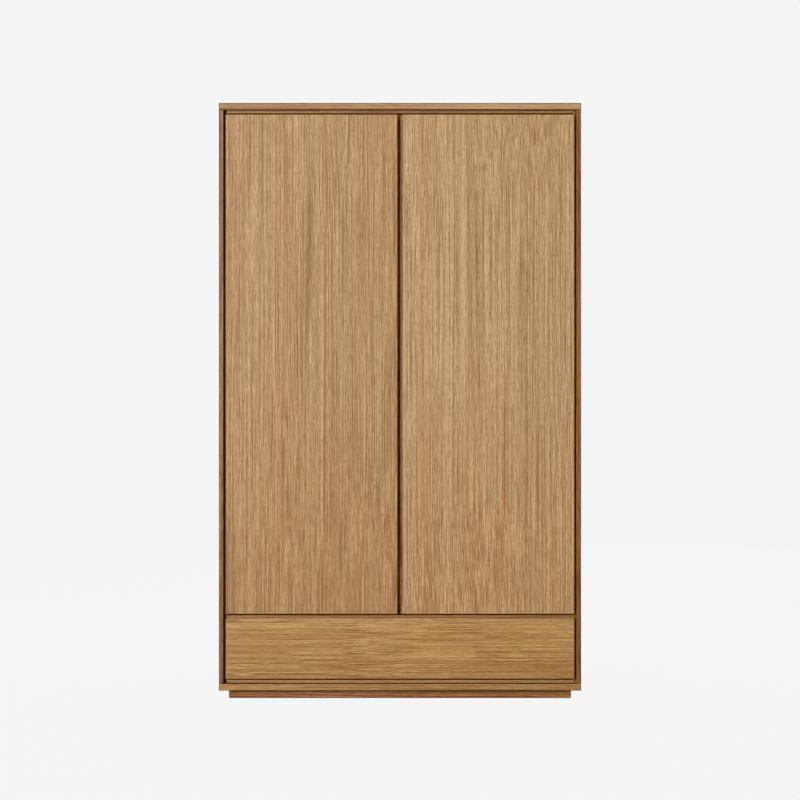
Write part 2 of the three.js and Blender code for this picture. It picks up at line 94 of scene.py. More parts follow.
class Graph:
    """A material's node tree, built by short calls that take sockets or plain numbers."""

    def __init__(self, name, roughness=0.5, metallic=0.0, specular=0.5):
        self.material = bpy.data.materials.new(name)
        self.material.use_nodes = True
        self.tree = self.material.node_tree
        self.tree.nodes.clear()
        self.shader = self.tree.nodes.new("ShaderNodeBsdfPrincipled")
        output = self.tree.nodes.new("ShaderNodeOutputMaterial")
        self.tree.links.new(self.shader.outputs["BSDF"], output.inputs["Surface"])
        self.shader.inputs["Roughness"].default_value = roughness
        self.shader.inputs["Metallic"].default_value = metallic
        self.shader.inputs["Specular IOR Level"].default_value = specular

    def put(self, socket, value):
        if isinstance(value, bpy.types.NodeSocket):
            self.tree.links.new(value, socket)
        else:
            socket.default_value = value

    def object_coordinates(self):
        return self.tree.nodes.new("ShaderNodeTexCoord").outputs["Object"]

    def vector(self, operation, first, second):
        node = self.tree.nodes.new("ShaderNodeVectorMath")
        node.operation = operation
        self.put(node.inputs[0], first)
        self.put(node.inputs[1], second)
        return node.outputs[0]

    def number(self, operation, first, second=0.0):
        node = self.tree.nodes.new("ShaderNodeMath")
        node.operation = operation
        self.put(node.inputs[0], first)
        self.put(node.inputs[1], second)
        return node.outputs[0]

    def split(self, vector):
        node = self.tree.nodes.new("ShaderNodeSeparateXYZ")
        self.put(node.inputs[0], vector)
        return node.outputs

    def join(self, x, y, z):
        node = self.tree.nodes.new("ShaderNodeCombineXYZ")
        for socket, value in zip(node.inputs, (x, y, z)):
            self.put(socket, value)
        return node.outputs[0]

    def noise(self, vector, scale, detail=2.0, roughness=0.5):
        """Noise whose features are 1/scale long along each of the three coordinates."""
        node = self.tree.nodes.new("ShaderNodeTexNoise")
        self.put(node.inputs["Vector"], self.vector("MULTIPLY", vector, scale))
        node.inputs["Scale"].default_value = 1.0
        node.inputs["Detail"].default_value = detail
        node.inputs["Roughness"].default_value = roughness
        return node.outputs["Fac"]

    def range(self, value, low, high, out_low=0.0, out_high=1.0):
        node = self.tree.nodes.new("ShaderNodeMapRange")
        node.clamp = True
        self.put(node.inputs["Value"], value)
        node.inputs["From Min"].default_value = low
        node.inputs["From Max"].default_value = high
        node.inputs["To Min"].default_value = out_low
        node.inputs["To Max"].default_value = out_high
        return node.outputs["Result"]

    def mix(self, amount, first, second, blend="MIX"):
        node = self.tree.nodes.new("ShaderNodeMix")
        node.data_type = "RGBA"
        node.blend_type = blend
        self.put(node.inputs["Factor"], amount)
        self.put(node.inputs[6], first)
        self.put(node.inputs[7], second)
        return node.outputs[2]

    def attribute(self, name):
        node = self.tree.nodes.new("ShaderNodeAttribute")
        node.attribute_name = name
        return node.outputs["Fac"]

    def bump(self, height, strength, distance):
        node = self.tree.nodes.new("ShaderNodeBump")
        node.inputs["Strength"].default_value = strength
        node.inputs["Distance"].default_value = distance
        self.put(node.inputs["Height"], height)
        self.put(self.shader.inputs["Normal"], node.outputs["Normal"])

    def colour(self, value):
        self.put(self.shader.inputs["Base Color"], value)

    def rough(self, value):
        self.put(self.shader.inputs["Roughness"], value)


EDGE = "eased_edge"  # face attribute: 1 on the rounded arrises, 0 elsewhere
SEED_STEP = Vector((3.17, 1.73, 5.41))  # how far each seed moves the wood pattern
WOOD_COLUMN = 0.055  # width of the broad bands in the wood
WOOD_LEAN = 0.03  # slow sideways drift of the grain
RING_SCALE = 300.0  # 1 / width of the growth rings
LONG_LINE_SCALE = 400.0
SHORT_LINE_SCALE = 500.0
WORN_SHARES = (0.2, 0.6)  # least and greatest share of the pale tone on worn arrises
WORN_POLISH = 0.12  # how much smoother worn arrises are than the veneer
SHADE_RIM_ROUGHING = 0.3  # how much rougher the arrises painted with dark shade are
PAINTED_SHADE_RIM = (srgb(60, 32, 9), 0.75, 1.0)  # painted shade: dark tone on the eased arrises for the shadow lines along joints and outlines, its least and greatest share


def grain_frame(graph, grain, seed):
    """Object coordinates turned so that the third one runs along the grain, moved by the seed."""
    x, y, z = graph.split(graph.object_coordinates())
    turned = {"x": (y, z, x), "y": (z, x, y), "z": (x, y, z)}[grain]
    return graph.vector("ADD", graph.join(*turned), tuple(SEED_STEP * seed))


def wood(name, grain, tones, seed, contrast=1.0, waves=0.0, fine=1.0, dashes=0.36, drift=None, rim=None):
    """Matt lacquered oak veneer. tones: pale, middle, dark and reddish colours.

    contrast: strength of the thin lines. waves: sideways wander of the lines.
    fine: how many times thinner the lines are than usual. dashes: share of short lines among the long ones.
    drift: start and end along the grain, and the tints at both, mostly painted light and shade.
    rim: painted shade on the eased arrises: its dark tone, least and greatest share; pale arrises from wear
    without it.
    """
    pale, middle, dark, reddish = tones
    graph = Graph(name, specular=0.3)
    place = grain_frame(graph, grain, seed)
    lean = graph.noise(place, (1.5, 1.5, 0.7), 1.0)
    ripple = graph.noise(place, (7.0, 7.0, 15.0), 1.0)
    shift = graph.number("ADD", graph.number("MULTIPLY", lean, WOOD_LEAN),
                         graph.number("MULTIPLY", ripple, waves))
    across = graph.vector("ADD", place, graph.join(shift, shift, 0.0))

    band = 1.0 / WOOD_COLUMN
    ring = RING_SCALE * fine
    long_line = LONG_LINE_SCALE * fine
    short_line = SHORT_LINE_SCALE * fine
    bands = graph.noise(across, (band, band, 0.3), 2.0, 0.55)
    blush = graph.noise(across, (band * 1.2, band * 1.2, 0.4), 2.0, 0.5)
    rings = graph.noise(across, (ring, ring, 0.8), 2.0, 0.7)
    long_lines = graph.noise(across, (long_line, long_line, 1.2), 1.0)
    short_lines = graph.noise(across, (short_line, short_line, 22.0), 1.0)
    streaks = graph.number("ADD", graph.number("MULTIPLY", long_lines, 1.0 - dashes),
                           graph.number("MULTIPLY", short_lines, dashes))
    fibres = graph.noise(across, (900.0, 900.0, 45.0), 2.0, 0.7)
    pores = graph.noise(across, (1900.0, 1900.0, 50.0), 1.0)

    # Each range turns a stretch of one noise into the share of the next tone.
    base = graph.mix(graph.range(bands, 0.36, 0.64), pale, middle)
    base = graph.mix(graph.range(blush, 0.46, 0.64, 0.0, 0.65), base, reddish)
    base = graph.mix(graph.range(rings, 0.50, 0.68, 0.0, 0.26 * contrast), base, dark)
    base = graph.mix(graph.range(streaks, 0.49, 0.61, 0.0, 0.90 * contrast), base, dark)
    base = graph.mix(graph.range(streaks, 0.50, 0.40, 0.0, 0.90 * contrast), base, blond(pale))
    base = graph.mix(graph.range(fibres, 0.48, 0.66, 0.0, 0.60 * contrast), base, dark)
    pore = graph.range(pores, 0.60, 0.70)
    base = graph.mix(graph.number("MULTIPLY", pore, 0.65), base, brighter(dark, 0.6))
    # tint along the grain, mostly painted light and shade
    if drift:
        start, end, start_tint, end_tint = drift
        along = graph.number("SUBTRACT", graph.split(place)[2], SEED_STEP.z * seed)
        tint = graph.mix(graph.range(along, start, end), start_tint, end_tint)
        base = graph.mix(1.0, base, tint, "MULTIPLY")
    # eased arrises: pale from wear, or with rim painted dark as the shade along joints and outlines
    rim_tone, least, most = rim or (pale, *WORN_SHARES)
    worn_or_shaded = graph.number("MULTIPLY", graph.attribute(EDGE), graph.range(rings, 0.3, 0.6, least, most))
    graph.colour(graph.mix(worn_or_shaded, base, rim_tone))

    sheen = graph.range(rings, 0.3, 0.7, 0.44, 0.56)
    roughing = SHADE_RIM_ROUGHING if rim else -WORN_POLISH
    graph.rough(graph.number("ADD", sheen, graph.number("MULTIPLY", worn_or_shaded, roughing)))
    relief = graph.number("SUBTRACT", graph.number("MULTIPLY", fibres, 0.5),
                          graph.number("MULTIPLY", pore, 0.7))
    graph.bump(relief, 0.35, 0.0002)
    return graph.material


PLY_PAIR = 2.8 * MM  # one pale and one dark ply of the drawer plywood


def plywood(name, stack, seed):
    """Edge of birch plywood: thin plies stacked along one axis."""
    graph = Graph(name, specular=0.3)
    coordinates = graph.object_coordinates()
    x, y, z = graph.split(coordinates)
    along = {"x": x, "y": y, "z": z}[stack]
    wander = graph.number("MULTIPLY", graph.noise(coordinates, (60.0, 60.0, 60.0), 2.0), 0.0003)
    plies = graph.number("SINE", graph.number("MULTIPLY", graph.number("ADD", along, wander),
                                              2 * math.pi / PLY_PAIR))
    fibres = graph.noise(graph.vector("ADD", coordinates, (seed, 0, 0)), (900.0, 90.0, 900.0), 3.0)
    base = graph.mix(graph.range(plies, -0.5, 0.5), srgb(216, 190, 150), srgb(176, 138, 92))
    graph.colour(graph.mix(graph.range(fibres, 0.4, 0.65, 0.0, 0.4), base, srgb(150, 112, 70)))
    graph.rough(graph.range(fibres, 0.3, 0.7, 0.55, 0.7))
    graph.bump(fibres, 0.2, 0.0002)
    return graph.material


def hardboard(name):
    """Unfinished brown back of the thin back boards."""
    graph = Graph(name, specular=0.25)
    place = graph.object_coordinates()
    cloud = graph.noise(place, (3.0, 3.0, 3.0), 3.0)
    fibres = graph.noise(place, (500.0, 500.0, 420.0), 4.0, 0.7)
    specks = graph.noise(place, (1400.0, 1400.0, 1400.0), 1.0)
    base = graph.mix(graph.range(cloud, 0.35, 0.65), srgb(172, 132, 90), srgb(165, 125, 84))
    base = graph.mix(graph.range(fibres, 0.42, 0.66, 0.0, 0.45), base, srgb(112, 78, 48))
    graph.colour(graph.mix(graph.range(specks, 0.62, 0.70, 0.0, 0.5), base, srgb(206, 172, 130)))
    graph.rough(graph.range(fibres, 0.3, 0.7, 0.62, 0.78))
    graph.bump(fibres, 0.3, 0.0003)
    return graph.material


def steel(name, tone, shade, brush, roughness):
    """Plated steel. brush: scale of the fine scratches along X, Y and Z."""
    graph = Graph(name, metallic=1.0)
    place = graph.object_coordinates()
    scratches = graph.noise(place, brush, 3.0, 0.6)
    clouds = graph.noise(place, (25.0, 25.0, 25.0), 3.0)
    base = graph.mix(graph.range(clouds, 0.35, 0.7), tone, shade)
    worn_or_shaded = graph.number("MULTIPLY", graph.attribute(EDGE), 0.5)
    graph.colour(graph.mix(worn_or_shaded, base, srgb(232, 232, 230)))
    smear = graph.range(scratches, 0.3, 0.7, -0.04, 0.06)
    dull = graph.range(clouds, 0.3, 0.7, 0.0, 0.08)
    graph.rough(graph.number("ADD", graph.number("ADD", smear, dull), roughness))
    graph.bump(scratches, 0.03, 0.0001)
    return graph.material


def moulded(name, tone, roughness, specular=0.45):
    """Plain moulded plastic or rubber with a fine matt texture."""
    graph = Graph(name, specular=specular)
    place = graph.object_coordinates()
    texture = graph.noise(place, (2500.0, 2500.0, 2500.0), 2.0)
    cloud = graph.noise(place, (120.0, 120.0, 120.0), 2.0)
    graph.colour(graph.mix(graph.range(cloud, 0.35, 0.65), tone, brighter(tone, 0.8)))
    graph.rough(graph.range(texture, 0.3, 0.7, roughness - 0.06, roughness + 0.08))
    graph.bump(texture, 0.15, 0.0001)
    return graph.material


# ------------------------------------------------------------------ finishes

LEFT_DOOR_TONES = (srgb(197, 163, 109), srgb(181, 143, 87), srgb(134, 89, 43), srgb(193, 136, 82))
RIGHT_DOOR_TONES = (srgb(208, 176, 124), srgb(193, 156, 103), srgb(143, 100, 53), srgb(202, 148, 96))
DRAWER_TONES = (srgb(201, 158, 91), srgb(176, 126, 61), srgb(126, 79, 30), srgb(182, 123, 62))
TOP_TONES = (srgb(190, 150, 96), srgb(177, 132, 79), srgb(134, 90, 46), srgb(183, 126, 75))
BOTTOM_TONES = (srgb(191, 151, 87), srgb(177, 132, 69), srgb(134, 90, 40), srgb(183, 126, 67))
SIDE_TONES = (srgb(193, 155, 98), srgb(178, 136, 78), srgb(133, 88, 42), srgb(186, 129, 75))
LEFT_EDGE_TONES = (srgb(162, 111, 43), srgb(146, 94, 31), srgb(102, 58, 14), srgb(154, 92, 33))
RIGHT_EDGE_TONES = (srgb(157, 100, 37), srgb(142, 87, 27), srgb(99, 53, 10), srgb(149, 81, 27))
# painted shade: dark oak for the side boards' ends and the bottom board's upper side, where shadow lines
# fall at the joints
PAINTED_SHADE_TONES = (srgb(98, 62, 22), srgb(86, 52, 16), srgb(58, 32, 8), srgb(90, 50, 16))
RAIL_TONES = (srgb(172, 131, 75), srgb(157, 112, 59), srgb(119, 78, 35), srgb(161, 107, 55))
# painted shade: darker oak on the centre partition's front edge, for the shade in the gap between the doors
POST_SHADE_TONES = (srgb(142, 98, 48), srgb(128, 82, 36), srgb(88, 50, 16), srgb(132, 78, 36))
PLINTH_TONES = (srgb(177, 116, 48), srgb(157, 97, 35), srgb(109, 63, 20), srgb(163, 95, 36))
INNER_TONES = (srgb(200, 168, 116), srgb(186, 148, 94), srgb(140, 98, 52), srgb(186, 138, 88))
BIRCH_TONES = (srgb(226, 204, 168), srgb(214, 188, 148), srgb(188, 156, 112), srgb(210, 178, 138))

# Drift of a colour along a veneer's grain, mostly painted light and shade: start and end along the grain,
# and the tints there.
EVEN = (1.0, 1.0, 1.0, 1.0)
# painted shade: doors and side boards darker and warmer towards the bottom
DOOR_SHADE_DRIFT = (0.3, 1.1, (0.98, 0.90, 0.84, 1.0), EVEN)
# painted shade: the side boards' front edges darker low down, beside the drawer and plinth
SIDE_EDGE_SHADE_DRIFT = (0.2, 0.34, (0.85, 0.87, 0.86, 1.0), EVEN)
# the top board darker and warmer at its left end, paler at its right
TOP_DRIFT = (-0.3, 0.3, (0.90, 0.83, 0.78, 1.0), (1.22, 1.35, 1.54, 1.0))
# painted light: the drawer front lighter towards its right end, against the lamps' fall-off
DRAWER_LIGHT_DRIFT = (-0.5, 0.5, EVEN, (1.10, 1.09, 1.11, 1.0))
# the bottom board a little lighter at its left end, darker at its right
BOTTOM_DRIFT = (-0.5, 0.5, (1.04, 1.05, 1.06, 1.0), (0.96, 0.95, 0.94, 1.0))

NICKEL = steel("nickel", srgb(222, 221, 216), srgb(206, 205, 200), (400.0, 400.0, 400.0), 0.42)
ZINC = steel("zinc", srgb(186, 189, 191), srgb(168, 171, 174), (900.0, 12.0, 900.0), 0.34)
RAIL_STEEL = steel("rail_steel", srgb(200, 202, 204), srgb(188, 190, 192), (8.0, 900.0, 900.0), 0.2)
DARK_STEEL = steel("dark_steel", srgb(120, 120, 118), srgb(100, 100, 98), (600.0, 600.0, 600.0), 0.4)
RUBBER = moulded("grey_rubber", srgb(182, 182, 178), 0.55)
# painted shadow: near-black brown for the strips that stand in for shadow lines beside the fronts
SHADOW_STRIP_SHADER = moulded("painted_shadow_strip", srgb(66, 30, 5), 0.8, specular=0.02)
# painted shade: dark brown for caps that stand in for the shade inside bored holes
HOLE_SHADE_CAP = moulded("painted_hole_shade", srgb(40, 24, 12), 0.8, specular=0.05)
CAGE_PLASTIC = moulded("cage_plastic", srgb(214, 214, 206), 0.45)


# ------------------------------------------------------------------ mesh helpers

BOARD_ROUNDING = 1.0 * MM
CASE_ROUNDING = 1.8 * MM  # outer boards and plinth of the case
THIN_ROUNDING = 0.5 * MM
FITTING_ROUNDING = 0.3 * MM
TUBE_ROUNDING = 0.4 * MM
ARM_ROUNDING = 0.8 * MM
STRIP_ROUNDING = 0.2 * MM
SINK = 0.1 * MM  # how deep small parts are set into what carries them


def side_sign(side):
    return -1 if side == "left" else 1


def mark_edges(bm, faces, value):
    layer = bm.faces.layers.float.get(EDGE) or bm.faces.layers.float.new(EDGE)
    for face in faces:
        face[layer] = value


def ease(bm, radius, segments=3, angle=30):
    """Rounds every edge sharper than the angle and marks the new faces as eased edges."""
    bm.normal_update()
    mark_edges(bm, bm.faces, 0.0)
    sharp = [
        edge for edge in bm.edges
        if len(edge.link_faces) == 2 and edge.calc_face_angle(0) > math.radians(angle)
    ]
    rounded = bmesh.ops.bevel(bm, geom=sharp, offset=radius, offset_type="OFFSET", segments=segments,
                              profile=0.5, affect="EDGES", clamp_overlap=True, loop_slide=True)
    mark_edges(bm, rounded["faces"], 1.0)
    for face in rounded["faces"]:
        face.smooth = True
    return bm


def cad_mesh(node):
    """A clean bmesh of a CAD node: shared corners merged and flat faces joined."""
    bm = bmesh.new()
    bm.from_mesh(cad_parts[node].data)
    bmesh.ops.remove_doubles(bm, verts=bm.verts, dist=1e-5)
    bmesh.ops.dissolve_limit(bm, angle_limit=math.radians(1), verts=bm.verts, edges=bm.edges)
    for face in bm.faces:
        face.smooth = False
    return bm


def piece_from(bm, name, body, materials, replaces=(), choose=None):
    """Makes a riding piece. choose(face) gives the index of the face's material."""
    if choose:
        bm.normal_update()
        for face in bm.faces:
            face.material_index = choose(face)
    mesh = bpy.data.meshes.new(name)
    bm.to_mesh(mesh)
    bm.free()
    for material in materials:
        mesh.materials.append(material)
    piece = bpy.data.objects.new(name, mesh)
    bpy.context.scene.collection.objects.link(piece)
    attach(piece, body)
    if replaces:
        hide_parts(*replaces)
    return piece


# Least share of a face's normal along an axis, for choosing the face's material.
FACING = 0.7  # faces that look along the axis
FLAT_SIDE = 0.9  # a board's whole side without its arrises
STEEP_ARRIS = 0.8  # a board's whole side with the steepest part of its arrises
MOST_ARRIS = 0.35  # a board's end with most of its arrises
LOW_ARRIS = 0.2  # all of the arrises


def faces_along(axis):
    """Chooser: the second material on faces that look along the axis, the first elsewhere."""
    index = "xyz".index(axis)
    return lambda face: 1 if abs(face.normal[index]) > FACING else 0


def front_faces(face):
    """Chooser: the second material on faces that look forward."""
    return 1 if face.normal.y < -FACING else 0


def side_board_faces(face):
    """Chooser: the third material, dark painted shade, on the ends and their arrises, the second on faces
    that look forward.
    """
    if abs(face.normal.z) > MOST_ARRIS:
        return 2
    return front_faces(face)


def top_board_faces(face):
    """Chooser: the third material on the underside, the second on the ends."""
    if face.normal.z < -FLAT_SIDE:
        return 2
    return faces_along("x")(face)


def bottom_board_faces(face):
    """Chooser: the fourth material, dark painted shade, on the upper side, the third, a lighter painted
    highlight, on its arrises, the second on the ends.
    """
    if face.normal.z > STEEP_ARRIS:
        return 3
    # painted highlight: the arrises take the lighter inner oak so that they read as lit
    if face.normal.z > LOW_ARRIS:
        return 2
    return faces_along("x")(face)


def back_faces(face):
    """Chooser: the second material on faces that look backward."""
    return 1 if face.normal.y > FACING else 0


def board(node, body, materials, choose=None, radius=BOARD_ROUNDING):
    """A wooden piece with eased arrises in the place of a CAD node."""
    bm = ease(cad_mesh(node), radius)
    return piece_from(bm, f"{node}_wood", body, materials, (node,), choose)


def lathe(profile, segments=20):
    """Closed solid of revolution about Z. profile: (radius, height) from axis to axis."""
    bm = bmesh.new()
    rings = []
    for radius, height in profile:
        if radius == 0:
            rings.append([bm.verts.new((0, 0, height))])
            continue
        rings.append([
            bm.verts.new((radius * math.cos(a), radius * math.sin(a), height))
            for a in (2 * math.pi * i / segments for i in range(segments))
        ])
    for low, high in zip(rings, rings[1:]):
        for i in range(segments):
            j = (i + 1) % segments
            if len(low) == 1:
                bm.faces.new((low[0], high[j], high[i]))
            elif len(high) == 1:
                bm.faces.new((low[i], low[j], high[0]))
            else:
                bm.faces.new((low[i], low[j], high[j], high[i]))
    bmesh.ops.recalc_face_normals(bm, faces=bm.faces)
    for face in bm.faces:
        face.smooth = True
    return bm


def turn_to(direction):
    """Rotation that takes +Z to the direction."""
    return Vector((0, 0, 1)).rotation_difference(Vector(direction)).to_matrix().to_4x4()


def add_copy(target, source, matrix):
    """Adds a placed copy of one bmesh to another."""
    mesh = bpy.data.meshes.new("copy")
    source.to_mesh(mesh)
    mesh.transform(matrix)
    target.from_mesh(mesh)
    bpy.data.meshes.remove(mesh)


def screw(radius, height):
    """Raised countersunk screw head with a cross recess; its underside is at Z = 0."""
    segments = 24
    slot_half = radius * 0.16
    slot_reach = radius * 0.58
    slot_taper = 0.8
    depth = height * 0.7
    bm = bmesh.new()
    rings = []
    for scale, z in ((1.0, 0.0), (1.0, height * 0.35), (0.93, height * 0.62), (0.78, height * 0.86)):
        rings.append([
            bm.verts.new((radius * scale * math.cos(a), radius * scale * math.sin(a), z))
            for a in (2 * math.pi * i / segments for i in range(segments))
        ])
    for low, high in zip(rings, rings[1:]):
        for i in range(segments):
            j = (i + 1) % segments
            bm.faces.new((low[i], low[j], high[j], high[i]))
    bm.faces.new(list(reversed(rings[0])))
    corners = []
    for quarter in range(4):
        turn = Matrix.Rotation(quarter * math.pi / 2, 3, "Z")
        for x, y in ((slot_reach, -slot_half), (slot_reach, slot_half), (slot_half, slot_half)):
            corners.append(turn @ Vector((x, y, 0)))
    rim = [bm.verts.new((c.x, c.y, height)) for c in corners]
    floor = [bm.verts.new((c.x * slot_taper, c.y * slot_taper, height - depth)) for c in corners]
    count = len(rim)
    rim_edges = [bm.edges.new((rim[i], rim[(i + 1) % count])) for i in range(count)]
    outer = rings[-1]
    outer_edges = [bm.edges.get((outer[i], outer[(i + 1) % segments])) for i in range(segments)]
    bmesh.ops.triangle_fill(bm, use_beauty=True, edges=rim_edges + outer_edges, normal=(0, 0, 1))
    for face in [f for f in bm.faces if all(v in rim for v in f.verts)]:
        bm.faces.remove(face)
    for i in range(count):
        j = (i + 1) % count
        bm.faces.new((rim[j], rim[i], floor[i], floor[j]))
    bm.faces.new(floor)
    bmesh.ops.recalc_face_normals(bm, faces=bm.faces)
    return bm


def screws(name, body, places, direction, radius, height, material=NICKEL):
    """One piece of several equal screw heads, each turned by its own angle."""
    head = screw(radius, height)
    dice = random.Random(name)
    joined = bmesh.new()
    for place in places:
        spin = Matrix.Rotation(dice.uniform(0, math.pi), 4, "Z")
        add_copy(joined, head, Matrix.Translation(place) @ turn_to(direction) @ spin)
    head.free()
    return piece_from(joined, name, body, [material])


# ------------------------------------------------------------------ case

def build_case():
    body = "case"
    top_oak = wood("top_oak", "x", TOP_TONES, 1, contrast=0.7, drift=TOP_DRIFT, rim=PAINTED_SHADE_RIM)
    bottom_oak = wood("bottom_oak", "x", BOTTOM_TONES, 21, contrast=0.7, drift=BOTTOM_DRIFT, rim=PAINTED_SHADE_RIM)
    side_oak = wood("side_oak", "z", SIDE_TONES, 2, contrast=0.8, drift=DOOR_SHADE_DRIFT, rim=PAINTED_SHADE_RIM)
    front_edges = {
        "left": wood("side_edge_left", "z", LEFT_EDGE_TONES, 22, drift=SIDE_EDGE_SHADE_DRIFT, rim=PAINTED_SHADE_RIM),
        "right": wood("side_edge_right", "z", RIGHT_EDGE_TONES, 19, drift=SIDE_EDGE_SHADE_DRIFT, rim=PAINTED_SHADE_RIM),
    }
    painted_shade_oak = wood("painted_shade_oak", "y", PAINTED_SHADE_TONES, 24)
    post = wood("painted_shade_post_oak", "z", POST_SHADE_TONES, 20)
    end_grain = wood("board_end_oak", "y", TOP_TONES, 3, rim=PAINTED_SHADE_RIM)
    inner_upright = wood("inner_oak_upright", "z", INNER_TONES, 4, contrast=0.6)
    inner_across = wood("inner_oak_across", "x", INNER_TONES, 5, contrast=0.6)
    rail_oak = wood("rail_oak", "x", RAIL_TONES, 6, contrast=0.6)
    lower_rail_oak = wood("lower_rail_oak", "x", BOTTOM_TONES, 23, contrast=0.6, rim=PAINTED_SHADE_RIM)
    plinth_across = wood("plinth_oak", "x", PLINTH_TONES, 7, rim=PAINTED_SHADE_RIM)
    plinth_deep = wood("plinth_oak_deep", "y", PLINTH_TONES, 8, rim=PAINTED_SHADE_RIM)
    board("top_panel", body, [top_oak, end_grain, inner_across], top_board_faces, CASE_ROUNDING)
    board("bottom_panel", body, [bottom_oak, end_grain, inner_across, painted_shade_oak],
          bottom_board_faces, CASE_ROUNDING)
    for side in SIDES:
        board(f"side_panel_{side}", body, [side_oak, front_edges[side], painted_shade_oak],
              side_board_faces, CASE_ROUNDING)
    board("centre_partition", body, [inner_upright, post], front_faces)
    board("deck_panel", body, [inner_across, rail_oak], front_faces)
    board("top_rail", body, [rail_oak])
    board("bottom_rail", body, [lower_rail_oak])
    for place in ("front", "back"):
        board(f"plinth_{place}", body, [plinth_across], radius=CASE_ROUNDING)
    for side in SIDES:
        board(f"plinth_{side}", body, [plinth_deep], radius=CASE_ROUNDING)
    for node in ("hat_shelf", "fixed_shelf", "lower_shelf", "upper_shelf"):
        board(node, body, [inner_across])


def build_backs():
    inside = wood("back_oak", "z", INNER_TONES, 9, contrast=0.6)
    outside = hardboard("back_hardboard")
    for side in SIDES:
        board(f"back_panel_{side}", "case", [inside, outside], back_faces, radius=THIN_ROUNDING)


# ------------------------------------------------------------------ doors and drawer

def build_doors():
    tones = {"left": LEFT_DOOR_TONES, "right": RIGHT_DOOR_TONES}
    for seed, side in enumerate(SIDES):
        face = wood(f"door_oak_{side}", "z", tones[side], 11 + seed,
                    contrast=0.96, fine=1.8, drift=DOOR_SHADE_DRIFT)
        edge = wood(f"door_edge_{side}", "x", tones[side], 13 + seed)
        board(f"door_{side}", f"{side}_door", [face, edge], faces_along("z"))


def build_drawer():
    face = wood("drawer_front_oak", "x", DRAWER_TONES, 15,
                contrast=0.85, waves=0.002, fine=2.0, dashes=0.12, drift=DRAWER_LIGHT_DRIFT)
    front_edge = wood("drawer_edge_oak", "z", DRAWER_TONES, 16)
    board("drawer_front", "drawer", [face, front_edge], faces_along("x"))
    birch_deep = wood("birch_deep", "y", BIRCH_TONES, 17, contrast=0.5)
    birch_across = wood("birch_across", "x", BIRCH_TONES, 18, contrast=0.5)
    ply_x = plywood("ply_edge_x", "x", 1)
    ply_y = plywood("ply_edge_y", "y", 2)
    for side in SIDES:
        board(f"drawer_side_{side}", "drawer", [ply_x, birch_deep], faces_along("x"))
    board("drawer_back", "drawer", [ply_y, birch_across], faces_along("y"))
    board("drawer_bottom", "drawer", [birch_across], radius=THIN_ROUNDING)


# ------------------------------------------------------------------ fittings

HINGE_SCREW_RADIUS = 3.6 * MM
CUP_SCREW_REACH = 24 * MM  # from the middle of the cup, up and down
CUP_SCREW_HEIGHT = 1.1 * MM
PLATE_SCREW_REACH = 16 * MM
PLATE_SCREW_HEIGHT = 1.3 * MM
ARM_FACE_X = 0.543
ARM_SCREW_YS = (-0.246, -0.219)
ARM_SCREW_RADIUS = 4.0 * MM
ARM_SCREW_HEIGHT = 1.4 * MM
ARM_SLOT_YS = (-0.2385, -0.2275)
ARM_SLOT_HALF_HEIGHT = 4.5 * MM
ARM_SLOT_HALF_DEPTH = 0.5 * MM
ARM_SLOT_ROUNDING = 0.25 * MM
LINK_PIN_X = 0.5335
LINK_PINS = ((-0.2805, 8.6 * MM, 1.3 * MM), (-0.2735, 8.2 * MM, 1.1 * MM))  # y, half length, radius

SOCKET_FLANGE_STEP = 11 * MM  # from the collar's mouth back to the flange's face
SOCKET_SCREW_REACH = 18.6 * MM
SOCKET_SCREW_RADIUS = 2.4 * MM
SOCKET_SCREW_HEIGHT = 1.0 * MM

CAGE_X = 0.5514
CAGE_START, CAGE_END = 0.110, 0.200
CAGE_HALF_HEIGHT = 15.5 * MM
CAGE_HALF_THICKNESS = 0.4 * MM
CAGE_MARGIN = 8 * MM
BALLS_PER_ROW = 7
BALL_RADIUS = 1.5 * MM
BALL_ROW_HEIGHT = 15 * MM


def fitting(node, body, material, radius=FITTING_ROUNDING):
    """An eased steel piece in the place of a CAD node."""
    bm = ease(cad_mesh(node), radius, segments=2, angle=40)
    return piece_from(bm, f"{node}_steel", body, [material], (node,))


def solid_box(low, high, radius, segments=2):
    """Box between two corners with every edge rounded."""
    low, high = Vector(low), Vector(high)
    bm = bmesh.new()
    bmesh.ops.create_cube(bm, size=1.0)
    for vert in bm.verts:
        vert.co = Vector((low[i] + high[i]) / 2 + vert.co[i] * (high[i] - low[i]) for i in range(3))
    return ease(bm, radius, segments)


def rod(start, end, radius, rounding, segments=16):
    """Round bar between two points with rounded ends."""
    start, end = Vector(start), Vector(end)
    length = (end - start).length
    profile = [(0, 0), (radius - rounding, 0), (radius, rounding),
               (radius, length - rounding), (radius - rounding, length), (0, length)]
    bm = lathe(profile, segments)
    bm.transform(Matrix.Translation(start) @ turn_to(end - start))
    return bm


def ball(centre, radius):
    bm = bmesh.new()
    bmesh.ops.create_uvsphere(bm, u_segments=12, v_segments=8, radius=radius)
    for face in bm.faces:
        face.smooth = True
    bm.transform(Matrix.Translation(centre))
    return bm


def merge(parts):
    whole = bmesh.new()
    for part in parts:
        add_copy(whole, part, Matrix.Identity(4))
        part.free()
    return whole


def box_of(node):
    """Lowest and highest corner of a CAD node."""
    points = [vert.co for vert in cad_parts[node].data.vertices]
    low = Vector(min(p[i] for p in points) for i in range(3))
    high = Vector(max(p[i] for p in points) for i in range(3))
    return low, high


